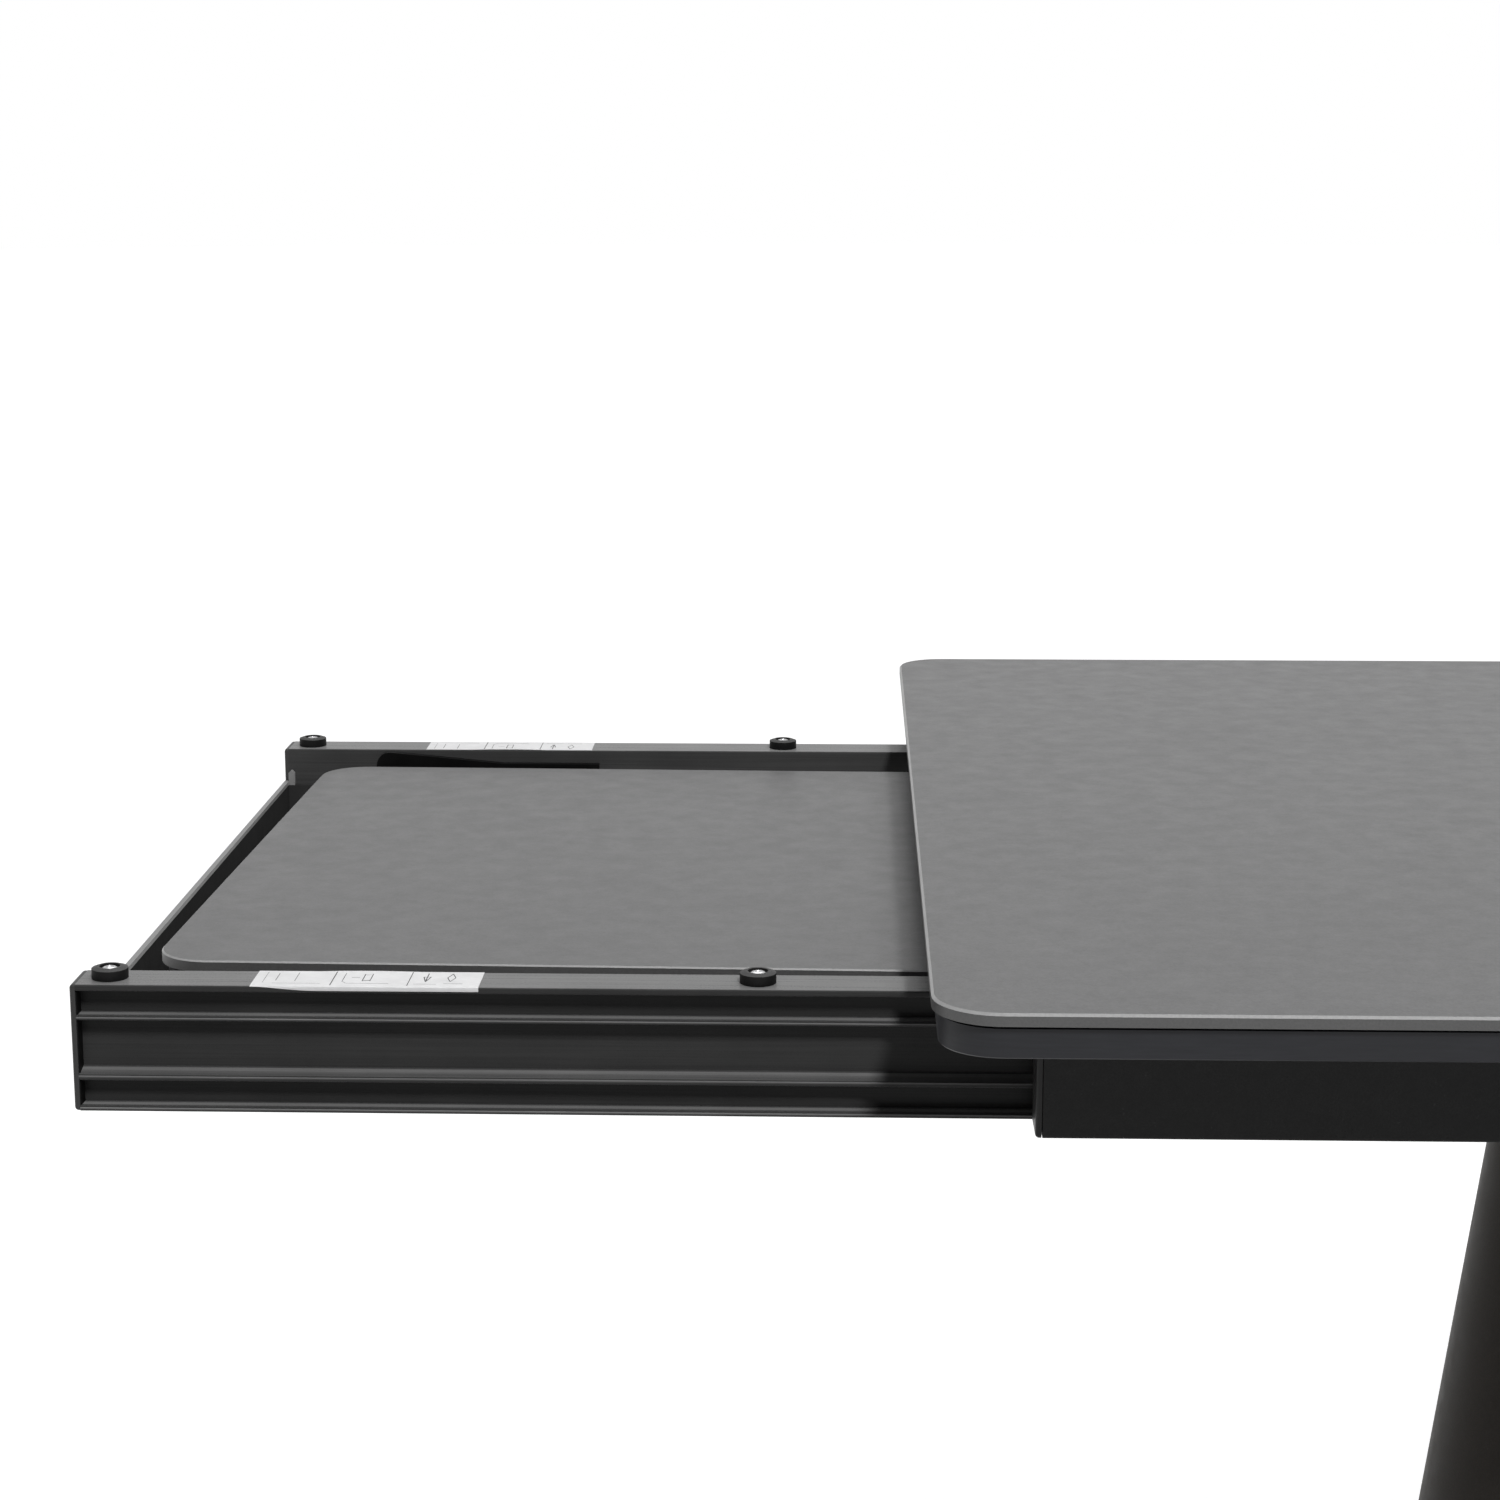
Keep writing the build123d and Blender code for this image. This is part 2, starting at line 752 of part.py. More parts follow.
def leaf_slab():
    slab = bevelled_slab(leaf_length, leaf_width, leaf_corner_radius, leaf_bevel)
    return as_stored(Pos(leaf_centre, 0, leaf_bottom + leaf_thickness - slab_thickness) * slab)


def leaf_bond():
    layer = rounded_plate(
        leaf_length - 2 * bond_inset,
        leaf_width - 2 * bond_inset,
        leaf_corner_radius - bond_inset,
        bond_thickness,
    )
    return as_stored(Pos(leaf_centre, 0, leaf_bottom + leaf_board_thickness) * layer)


def leaf_board():
    board = board_plate(
        leaf_length - 2 * board_inset,
        leaf_width - 2 * board_inset,
        leaf_corner_radius - board_inset,
        leaf_board_thickness,
    )
    return as_stored(Pos(leaf_centre, 0, leaf_bottom) * board)


def landing_block(x_side, y_side):
    """Block under the leaf that lands on a bumper once the leaf is turned and laid down."""
    x = leaf_centre + x_side * rail_centre_half_span
    y = y_side * bumper_spacing / 2
    block = Box(landing_block_size, landing_block_size, landing_block_height)
    return as_stored(Pos(x, y, leaf_bottom - landing_block_height / 2) * block)


# ---------------------------------------------------------------- all the nodes
nodes = {
    "main_top_slab": main_top_slab(),
    "main_top_bond": main_top_bond(),
    "main_top_board": main_top_board(),
    "beam_top_screws": beam_top_screws(),
    "cross_beam": cross_beam(),
    "saddle_left": saddle_left(),
    "saddle_right": to_right(saddle_left()),
    "saddle_bolts": saddle_bolts(),
    "column_left": column_left(),
    "column_right": to_right(column_left()),
    "column_bolts": column_bolts(),
    "base_plate": base_plate(),
    "end_bar": end_bar(),
    "end_bar_strip": end_bar_strip(),
    "end_bar_screws": end_bar_screws(),
    "mid_bar": mid_bar(),
    "mid_bar_strip": mid_bar_strip(),
    "inner_bar": inner_bar(),
    "label_front": label(front_label_offset, -rail_centre_half_span),
    "label_back": label(back_label_offset, rail_centre_half_span),
    "leaf_slab": leaf_slab(),
    "leaf_bond": leaf_bond(),
    "leaf_board": leaf_board(),
}

# pieces that come in a front and a back copy
front_pieces = {
    "side_beam": side_beam_front(),
    "closing_buffer": closing_buffer_front(),
    "glide_block_outer": glide_block_front_outer(),
    "glide_block_inner": glide_block_front_inner(),
    "rail": rail_front(),
    "rail_cap": rail_cap_front(),
    "travel_stop": travel_stop_front(),
    "leaf_guide": leaf_guide_front(),
}
for number, bumper_x in enumerate(bumper_xs, start=1):
    front_pieces[f"bumper_{number}"] = bumper_front(bumper_x)
    front_pieces[f"bumper_screw_{number}"] = bumper_screw_front(bumper_x)
for name, piece in front_pieces.items():
    nodes[f"{name}_front"] = piece
    nodes[f"{name}_back"] = to_back(piece)

# pieces that come in four copies, one for each corner of the base
corner_pieces = {
    "foot": foot_front_left(),
    "beam_cap": beam_cap_front_left(),
}
for name, piece in corner_pieces.items():
    nodes[f"{name}_front_left"] = piece
    nodes[f"{name}_back_left"] = to_back(piece)
    nodes[f"{name}_front_right"] = to_right(piece)
    nodes[f"{name}_back_right"] = to_back(to_right(piece))

for x_name, x_side in (("left", -1), ("right", 1)):
    for y_name, y_side in (("front", -1), ("back", 1)):
        nodes[f"landing_block_{y_name}_{x_name}"] = landing_block(x_side, y_side)

os.makedirs("parts", exist_ok=True)
for name, shape in nodes.items():
    export_step(shape, f"parts/{name}.step")
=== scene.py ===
import json
import math

import bmesh
import bpy
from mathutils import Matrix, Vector


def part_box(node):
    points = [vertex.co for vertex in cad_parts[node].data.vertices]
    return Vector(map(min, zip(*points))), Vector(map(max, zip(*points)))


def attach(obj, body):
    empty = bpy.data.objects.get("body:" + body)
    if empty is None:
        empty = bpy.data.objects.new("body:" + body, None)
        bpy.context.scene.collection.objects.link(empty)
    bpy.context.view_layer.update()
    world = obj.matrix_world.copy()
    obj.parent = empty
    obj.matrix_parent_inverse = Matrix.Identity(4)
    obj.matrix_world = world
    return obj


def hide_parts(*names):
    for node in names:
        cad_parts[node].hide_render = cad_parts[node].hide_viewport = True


# Looks of the extending table. Everything is in metres, in the frame of the packed
# model: the floor is z = 0, +X runs to the right along the table, +Y to the back.

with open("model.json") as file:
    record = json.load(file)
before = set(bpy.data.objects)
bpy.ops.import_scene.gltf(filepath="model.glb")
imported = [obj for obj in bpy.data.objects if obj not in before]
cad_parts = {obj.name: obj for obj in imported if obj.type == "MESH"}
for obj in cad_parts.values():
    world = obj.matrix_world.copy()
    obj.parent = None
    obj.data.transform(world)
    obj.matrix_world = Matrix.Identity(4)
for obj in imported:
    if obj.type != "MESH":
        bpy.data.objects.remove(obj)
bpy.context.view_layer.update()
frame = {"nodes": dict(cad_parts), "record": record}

MM = 0.001
EXTENSION = "extension_frame"
SIDES = ("front", "back")
GROOVE_DEPTH = 9.0 * MM        # of the grooves in the rails' outer faces

top_low, top_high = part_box("main_top_slab")
front_left_corner = Vector((top_low.x, top_low.y, top_high.z))


# ---------------------------------------------------------------- camera
CAMERA_FROM_CORNER = Vector((-0.0389, -1.25783, 0.37405))
CAMERA_TURN_DEGREES = (78.417, 0.070, 1.827)
CAMERA_LENS_MM = 72.24


def add_camera():
    data = bpy.data.cameras.new("camera")
    data.lens = CAMERA_LENS_MM
    camera = bpy.data.objects.new("camera", data)
    camera.location = front_left_corner + CAMERA_FROM_CORNER
    camera.rotation_euler = [math.radians(angle) for angle in CAMERA_TURN_DEGREES]
    bpy.context.scene.collection.objects.link(camera)
    bpy.context.scene.camera = camera


# ---------------------------------------------------------------- node graphs
NOISE_SPAN = (0.3, 0.7)        # where most values of a noise lie
NOISE_SUM_SPAN = (0.7, 1.3)    # where most sums of two noises lie


def colour(value):
    """A socket as it is, a grey level as a neutral colour, and three numbers as a colour."""
    if isinstance(value, bpy.types.NodeSocket):
        return value
    if isinstance(value, float):
        return (value, value, value, 1.0)
    return (*value, 1.0)


class Graph:
    """The nodes of a material or of the world."""

    def __init__(self, tree):
        self.tree = tree

    def node(self, kind, inputs=(), **settings):
        """A new node with its settings, and with inputs given as values or as sockets."""
        made = self.tree.nodes.new(kind)
        for key, value in settings.items():
            setattr(made, key, value)
        for key, value in dict(inputs).items():
            self.feed(made.inputs[key], value)
        return made

    def feed(self, socket, value):
        """Gives an input a value, or links it to a socket."""
        if isinstance(value, bpy.types.NodeSocket):
            self.tree.links.new(value, socket)
        else:
            socket.default_value = value

    def maths(self, operation, first, second=0.0):
        inputs = {0: first, 1: second}
        return self.node("ShaderNodeMath", inputs, operation=operation).outputs[0]

    def ranged(self, value, source, target):
        """A value moved from one range to another, and kept inside it."""
        inputs = {0: value, 1: source[0], 2: source[1], 3: target[0], 4: target[1]}
        return self.node("ShaderNodeMapRange", inputs).outputs[0]

    def mixed(self, factor, first, second):
        """A colour between two others; a grey level stands for a neutral colour."""
        mix = self.node("ShaderNodeMix", data_type="RGBA")
        self.feed(mix.inputs[0], factor)
        self.feed(mix.inputs[6], colour(first))
        self.feed(mix.inputs[7], colour(second))
        return mix.outputs[2]

    def ramp(self, value, stops):
        """A grey level that follows a value through (place, level) stops."""
        made = self.node("ShaderNodeValToRGB", {0: value})
        elements = made.color_ramp.elements
        for place, _ in stops[1:-1]:
            elements.new(place)
        for element, (place, level) in zip(elements, stops):
            element.position = place
            element.color = colour(level)
        return made.outputs[0]

    def ray_kinds(self):
        """1 on camera rays, and 1 on all that show the background, so mirrored ones too."""
        path = self.node("ShaderNodeLightPath")
        shown = path.outputs["Is Camera Ray"]
        for name in ("Is Glossy Ray", "Is Transmission Ray"):
            shown = self.maths("MAXIMUM", shown, path.outputs[name])
        return path.outputs["Is Camera Ray"], shown


class Finish(Graph):
    """A procedural material made up node by node, in the object's own coordinates."""

    def __init__(self, name):
        self.material = bpy.data.materials.new(name)
        self.material.use_nodes = True
        super().__init__(self.material.node_tree)
        self.shader = self.tree.nodes["Principled BSDF"]
        coordinates = self.node("ShaderNodeTexCoord")
        self.place = coordinates.outputs["Object"]
        self.normal = coordinates.outputs["Normal"]

    def noise(self, size, detail, stretch=None):
        """Noise from 0 to 1 whose blotches are about size metres across."""
        place = self.place
        if stretch:
            inputs = {0: place, 1: stretch}
            place = self.node("ShaderNodeVectorMath", inputs, operation="MULTIPLY").outputs[0]
        inputs = {"Vector": place, "Scale": 1 / size, "Detail": detail}
        return self.node("ShaderNodeTexNoise", inputs).outputs[0]

    def spread(self, noise, low, high):
        """A noise brought to the range from low to high."""
        return self.ranged(noise, NOISE_SPAN, (low, high))

    def product(self, first, second):
        return self.maths("MULTIPLY", first, second)

    def upward(self, low, high):
        """From 0 to 1 where the height of the normal passes from low to high."""
        parts = self.node("ShaderNodeSeparateXYZ", {0: self.normal})
        return self.ranged(parts.outputs["Z"], (low, high), (0.0, 1.0))

    def bumped(self, height, depth_mm):
        """Fine relief of that depth under the shader."""
        inputs = {"Height": height, "Distance": depth_mm * MM, "Strength": 1.0}
        self.set(Normal=self.node("ShaderNodeBump", inputs).outputs[0])

    def set(self, **inputs):
        """Gives the shader's inputs, whose names have _ for a space."""
        for key, value in inputs.items():
            self.feed(self.shader.inputs[key.replace("_", " ")], value)


# ---------------------------------------------------------------- finishes
# The numbers in a finish are noise sizes in metres, linear levels and roughnesses.
FLECKS_PER_METRE = 7.0
FLECK_PICK = 0.62              # flecks with a higher random value are drawn
FLECK_RADIUS = 0.006           # against the flecks' spacing
FLECK_LEVEL = 0.02
BEVEL_NORMAL = (0.3, 0.5)      # heights of the normal between a slab's side and its bevel
TOP_NORMAL = (0.86, 0.97)      # and between its bevel and its top
PAINTED_TOP_NORMAL = (0.8, 0.97)     # between bare faces of the aluminium and faces that look up, painted lighter as a highlight
PAINTED_TOP_LIGHT_NORMAL = (0.5, 0.8)       # between the rubber's sides and its faces that look up, painted lighter as lit
DUST_LEVEL = 0.12              # of the dust on the powder coat
DUST_SPAN = (0.68, 0.78)       # of its noise, between clean and dusty spots
DUST_SHARE = 0.35              # how far it covers the dusty spots


def stone_ceramic():
    """Matte stone-look ceramic with darker cut sides and a lighter ground bevel, partly a painted
    highlight.
    """
    finish = Finish("stone_ceramic")
    clouds = finish.noise(0.09, 5.0)
    mottling = finish.noise(0.016, 6.0)
    grain = finish.noise(0.0038, 3.0)
    speckle = finish.noise(0.0011, 2.0)
    shade = finish.spread(clouds, 0.0, 0.1)
    for layer, share in ((mottling, 0.15), (grain, 0.3), (speckle, 0.5)):
        shade = finish.maths("ADD", shade, finish.spread(layer, 0.0, share))
    stone = finish.mixed(shade, (0.056, 0.056, 0.057), (0.106, 0.106, 0.107))

    inputs = {"Vector": finish.place, "Scale": FLECKS_PER_METRE}
    flecks = finish.node("ShaderNodeTexVoronoi", inputs)
    chosen = finish.maths("GREATER_THAN", flecks.outputs["Color"], FLECK_PICK)
    near = finish.maths("LESS_THAN", flecks.outputs["Distance"], FLECK_RADIUS)
    stone = finish.mixed(finish.product(chosen, near), stone, FLECK_LEVEL)

    side = finish.mixed(speckle, 0.070, 0.112)
    # The bevel's lighter colour is partly the ground edge and partly a painted highlight.
    bevel_and_highlight = finish.mixed(speckle, 0.25, 0.36)
    base = finish.mixed(finish.upward(*BEVEL_NORMAL), side, bevel_and_highlight)
    finish.set(
        Base_Color=finish.mixed(finish.upward(*TOP_NORMAL), base, stone),
        Roughness=finish.spread(mottling, 0.34, 0.42),
        Specular_IOR_Level=0.5,
    )
    finish.bumped(finish.maths("ADD", speckle, finish.noise(0.004, 3.0)), 0.03)
    return finish.material


def powder_coat(name, dark, light, gloss):
    """Fine textured powder coat: a pebbled surface with a little dust in it."""
    finish = Finish(name)
    pebbles = finish.noise(0.0009, 2.0)
    drift = finish.noise(0.011, 3.0)
    dust_and_painted_light = finish.ranged(finish.noise(0.0025, 6.0), DUST_SPAN, (0.0, DUST_SHARE))
    shade = finish.product(pebbles, finish.spread(drift, 0.3, 0.7))
    finish.set(
        Base_Color=finish.mixed(dust_and_painted_light, finish.mixed(shade, dark, light), DUST_LEVEL),
        Roughness=finish.spread(drift, 0.42, 0.5),
        Specular_IOR_Level=gloss,
    )
    finish.bumped(pebbles, 0.04)
    return finish.material


# Levels on the fronts of a rail's ribs, by the height below its top as a share of its height,
# which are painted highlights, and on the tops of its ribs, by the depth behind its outer face
# as a share of its grooves' depth, which are painted light and shade.
FRONT_HIGHLIGHT_LEVELS = (
    (0.0, 0.0), (0.243, 0.0), (0.2445, 1.0), (0.257, 1.0), (0.268, 0.1), (0.283, 0.0),
    (0.709, 0.0), (0.7105, 0.8), (0.722, 0.75), (0.733, 0.05), (0.755, 0.0),
    (0.957, 0.0), (0.9585, 1.0), (0.972, 1.0), (0.984, 0.1), (1.0, 0.0),
)
LEDGE_PAINTED_LIGHT_LEVELS = (
    (0.0, 0.50), (0.06, 0.35), (0.14, 0.20), (0.26, 0.26), (0.38, 0.95), (0.74, 0.95),
    (0.84, 0.22), (1.0, 0.16),
)
SLOPE_PAINTED_LIGHT_LEVELS = (
    (0.0, 0.75), (0.07, 0.60), (0.15, 0.42), (0.30, 0.50), (0.45, 0.62), (0.58, 0.85),
    (0.78, 0.88), (0.87, 0.28), (1.0, 0.22),
)
SLOPE_STARTS, SLOPE_ENDS = 0.6, 0.8    # shares of the height between which a rib's top slopes
TOP_FACE_ENDS = 0.1            # share of the height within which lies the rail's top face
FACE_REACH = 0.1 * MM          # how far from a face a point still counts as on it
# Linear levels of the painted highlight on the ribs' rounded fronts.
PAINTED_HIGHLIGHT_LEVELS = (0.13, 0.26)
PAINTED_TOP_GAIN = 3.6                # brightness of faces that look up, against bare ones: a painted highlight
PAINTED_LEDGE_GAIN = 1.5               # of the ribs' tops, against other faces that look up: painted light
PAINTED_INNER_GAIN = 1.35              # of faces that look inwards, against the other bare ones: painted light on that side


def rail_levels(finish):
    """The painted highlight on a rib's front, the painted light and shade on a face that looks
    up, and the inner face.
    """
    low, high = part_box("rail_front")
    parts = finish.node("ShaderNodeSeparateXYZ", {0: finish.place})
    behind = finish.maths("SUBTRACT", abs(low.y), finish.maths("ABSOLUTE", parts.outputs["Y"]))
    below = finish.maths("SUBTRACT", high.z, parts.outputs["Z"])
    below = finish.maths("DIVIDE", below, high.z - low.z)

    on_front = finish.maths("LESS_THAN", behind, FACE_REACH)
    painted_highlight = finish.product(on_front, finish.ramp(below, FRONT_HIGHLIGHT_LEVELS))
    depth = finish.maths("DIVIDE", behind, GROOVE_DEPTH)
    slope = finish.product(
        finish.maths("GREATER_THAN", below, SLOPE_STARTS),
        finish.maths("LESS_THAN", below, SLOPE_ENDS),
    )
    dust_and_painted_light = finish.mixed(slope, finish.ramp(depth, LEDGE_PAINTED_LIGHT_LEVELS), finish.ramp(depth, SLOPE_PAINTED_LIGHT_LEVELS))
    under_top = finish.maths("GREATER_THAN", below, TOP_FACE_ENDS)
    dust_and_painted_light = finish.mixed(under_top, 1 / PAINTED_LEDGE_GAIN, dust_and_painted_light)
    return painted_highlight, dust_and_painted_light, finish.maths("GREATER_THAN", behind, high.y - low.y - FACE_REACH)


def anodised(name, dark, light, gloss, sheen=0.0, ribs=False):
    """Anodised extruded aluminium: faint draw lines, and what faces up painted lighter as a
    highlight.
    """
    finish = Finish(name)
    lines = finish.noise(0.0012, 3.0, stretch=(0.01, 1.0, 1.0))
    drift = finish.noise(0.04, 4.0)
    grain = finish.noise(0.0008, 2.0)
    shade = finish.product(finish.spread(lines, 0.55, 1.0), finish.spread(drift, 0.6, 1.0))

    def shaded(gain):
        return finish.mixed(shade, gain * dark, gain * light)

    # The lighter copy of the finish is a painted highlight on faces that look up.
    bare, painted_top = shaded(1.0), shaded(PAINTED_TOP_GAIN)
    if ribs:
        painted_highlight, dust_and_painted_light, inner = rail_levels(finish)
        # Faces that look inwards are painted lighter, as lit.
        bare = finish.mixed(inner, bare, shaded(PAINTED_INNER_GAIN))
        # Painted highlights on the ribs' rounded fronts.
        bare = finish.mixed(painted_highlight, bare, finish.mixed(shade, *PAINTED_HIGHLIGHT_LEVELS))
        # Painted light and shade on the ribs' tops, by their depth.
        painted_top = finish.mixed(dust_and_painted_light, 0.0, shaded(PAINTED_LEDGE_GAIN * PAINTED_TOP_GAIN))
    relief = finish.maths("ADD", lines, grain)
    finish.set(
        Base_Color=finish.mixed(finish.upward(*PAINTED_TOP_NORMAL), bare, painted_top),
        Roughness=finish.ranged(relief, NOISE_SUM_SPAN, (0.24, 0.34)),
        Specular_IOR_Level=gloss,
        Sheen_Weight=sheen,
        Sheen_Roughness=0.4,
    )
    finish.bumped(relief, 0.012)
    return finish.material


def lacquered_board():
    """Dark lacquer over a dense board: faint fibres along the edge and orange peel."""
    finish = Finish("lacquered_board")
    fibres = finish.noise(0.0015, 4.0, stretch=(0.08, 0.08, 1.0))
    drift = finish.noise(0.06, 4.0)
    peel = finish.noise(0.003, 2.0)
    shade = finish.product(fibres, drift)
    finish.set(
        Base_Color=finish.mixed(shade, (0.014, 0.0145, 0.017), (0.034, 0.035, 0.041)),
        Roughness=finish.spread(drift, 0.36, 0.46),
        Specular_IOR_Level=0.25,
    )
    finish.bumped(finish.maths("ADD", peel, fibres), 0.03)
    return finish.material


def moulded(name, dark, light, gloss=0.3, roughness=(0.45, 0.6), painted_top_light=None):
    """Moulded plastic or rubber: spark-eroded grain, flow marks, and a top that can be painted
    lighter as lit.
    """
    finish = Finish(name)
    grain = finish.noise(0.0006, 3.0)
    flow = finish.noise(0.012, 4.0, stretch=(1.0, 0.4, 1.0))
    base = finish.mixed(finish.product(grain, finish.spread(flow, 0.5, 1.0)), dark, light)
    if painted_top_light:
        # A lighter top, painted as light falling on it.
        base = finish.mixed(finish.upward(*PAINTED_TOP_LIGHT_NORMAL), base, finish.mixed(grain, *painted_top_light))
    finish.set(
        Base_Color=base,
        Roughness=finish.spread(flow, *roughness),
        Specular_IOR_Level=gloss,
    )
    finish.bumped(grain, 0.02)
    return finish.material


def zinc():
    """Bright zinc plating with fine turning marks."""
    finish = Finish("zinc")
    marks = finish.noise(0.0004, 3.0)
    stain = finish.noise(0.003, 4.0)
    both = finish.maths("ADD", marks, stain)
    finish.set(
        Base_Color=finish.mixed(stain, (0.62, 0.62, 0.63), (0.86, 0.86, 0.87)),
        Roughness=finish.ranged(both, NOISE_SUM_SPAN, (0.26, 0.42)),
        Metallic=1.0,
    )
    finish.bumped(marks, 0.008)
    return finish.material


def paper():
    """Coated white paper with faint fibres and handling marks."""
    finish = Finish("paper")
    fibres = finish.noise(0.0012, 5.0, stretch=(0.4, 1.0, 1.0))
    smudges = finish.noise(0.012, 4.0)
    handled = finish.ranged(smudges, (0.25, 0.6), (0.6, 1.0))
    shade = finish.product(finish.spread(fibres, 0.7, 1.0), handled)
    finish.set(
        Base_Color=finish.mixed(shade, (0.52, 0.52, 0.525), (0.70, 0.70, 0.705)),
        Roughness=finish.spread(smudges, 0.5, 0.62),
        Specular_IOR_Level=0.3,
    )
    finish.bumped(fibres, 0.02)
    return finish.material


def make_finishes():
    """One finish for each material slot of the record, one for the rail caps and one for ink."""
    brown_dark, brown_light = (0.054, 0.0487, 0.0435), (0.106, 0.0951, 0.0857)
    satin = {"gloss": 0.19, "roughness": (0.34, 0.46)}
    # The rubber's lighter top is painted light.
    rubber = {"gloss": 0.145, "roughness": (0.5, 0.62), "painted_top_light": (0.04, 0.07)}
    return {
        "ceramic_slab": stone_ceramic(),
        "bonding_layer": moulded("bonding", 0.003, 0.008, gloss=0.1),
        "dark_board": lacquered_board(),
        "beam_paint": powder_coat("beam_paint", 0.037, 0.071, 0.06),
        "column_paint": powder_coat("column_paint", brown_dark, brown_light, 0.04),
        "bar_paint": powder_coat("bar_paint", 0.030, 0.052, 0.0),
        "rail_aluminium": anodised("rail_aluminium", 0.024, 0.047, 0.05, sheen=0.4, ribs=True),
        "stop_aluminium": anodised("stop_aluminium", 0.22, 0.34, 0.5),
        "cap_plastic": moulded("cap_plastic", 0.018, 0.031, **satin),
        "rail_cap": moulded("rail_cap", 0.036, 0.060, **satin),
        "foot_plastic": moulded("foot_plastic", 0.006, 0.014),
        "grey_strip": moulded("grey_strip", 0.20, 0.28),
        "glide_plastic": moulded("glide_plastic", 0.45, 0.62),
        "guide_plastic": moulded("guide_plastic", 0.003, 0.006, gloss=0.08),
        "black_rubber": moulded("black_rubber", 0.0045, 0.011, **rubber),
        "landing_plastic": moulded("landing_plastic", 0.008, 0.018),
        "zinc_screw": zinc(),
        "white_label": paper(),
        "ink": moulded("ink", 0.012, 0.03, gloss=0.2),
    }


# Nodes whose finish is a little lighter than that of the others in their slot.
OWN_FINISH = {"rail_cap_front": "rail_cap", "rail_cap_back": "rail_cap"}


def dress_frame(finishes):
    """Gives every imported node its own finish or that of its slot."""
    for part in frame["record"]["subparts"]:
        mesh = frame["nodes"][part["node"]].data
        mesh.materials.clear()
        mesh.materials.append(finishes[OWN_FINISH.get(part["node"], part["material_slot"])])


# ---------------------------------------------------------------- piece helpers
SHARP_DEGREES = 35             # edges that turn by more are drawn sharp
TURN_SEGMENTS = 72


def smoothed(mesh):
    mesh.shade_smooth()
    mesh.set_sharp_from_angle(angle=math.radians(SHARP_DEGREES))


def add_piece(name, bm, materials, body, nodes=()):
    """The mesh as a piece of the object, which rides on a body and stands for its nodes."""
    mesh = bpy.data.meshes.new(name)
    bmesh.ops.recalc_face_normals(bm, faces=bm.faces)
    bm.to_mesh(mesh)
    bm.free()
    for material in materials:
        mesh.materials.append(material)
    smoothed(mesh)
    piece = bpy.data.objects.new(name, mesh)
    bpy.context.scene.collection.objects.link(piece)
    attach(piece, body)
    if nodes:
        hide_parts(*nodes)
    return piece


def arc(centre, radius, start, end, steps):
    """Points of an arc, with its angles in degrees."""
    turns = [math.radians(start + (end - start) * step / steps) for step in range(steps + 1)]
    return [
        (centre[0] + radius * math.cos(turn), centre[1] + radius * math.sin(turn))
        for turn in turns
    ]


def bridge(bm, first, second):
    """Faces between two closed rows of vertices, which are triangles where a row is a point."""
    for here in range(len(first)):
        there = (here + 1) % len(first)
        corners = dict.fromkeys((first[here], first[there], second[there], second[here]))
        bm.faces.new(corners)


def turned(profile, foot):
    """Mesh turned about the upright axis through foot, from (radius, height) points."""
    bm = bmesh.new()
    angles = [2 * math.pi * step / TURN_SEGMENTS for step in range(TURN_SEGMENTS)]
    rings = []
    for radius, height in profile:
        if radius == 0:
            rings.append([bm.verts.new(foot + Vector((0, 0, height)))] * TURN_SEGMENTS)
            continue
        ring = []
        for angle in angles:
            point = Vector((radius * math.cos(angle), radius * math.sin(angle), height))
            ring.append(bm.verts.new(foot + point))
        rings.append(ring)
    for low, high in zip(rings, rings[1:]):
        bridge(bm, low, high)
    return bm


def node_foot(node):
    """The middle of the underside of a node's box, and its half width and height."""
    low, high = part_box(node)
    foot = Vector(((low.x + high.x) / 2, (low.y + high.y) / 2, low.z))
    return foot, (high.x - low.x) / 2, high.z - low.z


# ---------------------------------------------------------------- bumpers and their screws
BUMPER_CONE_HEIGHT = 0.9 * MM  # of the shallow cone round the top ring
BUMPER_CONE_WIDTH = 2.6 * MM
BUMPER_RECESS_RADIUS = 5.0 * MM
BUMPER_RECESS_DEPTH = 2.4 * MM
BUMPER_SOFT_EDGE = 0.2 * MM
SCREW_HEAD_RADIUS = 4.3 * MM
SCREW_FOOT_CHAMFER = 0.15 * MM
SCREW_RIM = 0.45 * MM
SCREW_DOME = 1.9 * MM
SCREW_DOME_STEPS = 12
CROSS_ARM = 2.3 * MM
CROSS_HALF_WIDTH = 0.42 * MM
CROSS_DEPTH = 1.5 * MM
CUTTER_RISE = 0.3 * MM         # of the cross cutter above the screw's top


def add_bumper(node, finishes):
    """Rubber bumper with a softened foot, a cone round its top ring and a screw's recess."""
    foot, radius, height = node_foot(node)
    edge = BUMPER_SOFT_EDGE
    shoulder = height - BUMPER_CONE_HEIGHT
    slope = math.degrees(math.atan2(BUMPER_CONE_WIDTH, BUMPER_CONE_HEIGHT))
    lip = BUMPER_RECESS_RADIUS
    floor = height - BUMPER_RECESS_DEPTH
    profile = [(0, 0)]
    profile += arc((radius - edge, edge), edge, -90, 0, 4)
    profile += arc((radius - edge, shoulder - edge), edge, 0, slope, 4)
    profile += arc((radius - BUMPER_CONE_WIDTH - edge, height - edge), edge, slope, 90, 4)
    profile += arc((lip + edge, height - edge), edge, 90, 180, 5)
    profile += arc((lip - edge, floor + edge), edge, 0, -90, 3)
    profile += [(0, floor)]
    rubber = [finishes["black_rubber"]]
    add_piece(f"{node}_rubber", turned(profile, foot), rubber, EXTENSION, [node])
    return foot + Vector((0, 0, floor))


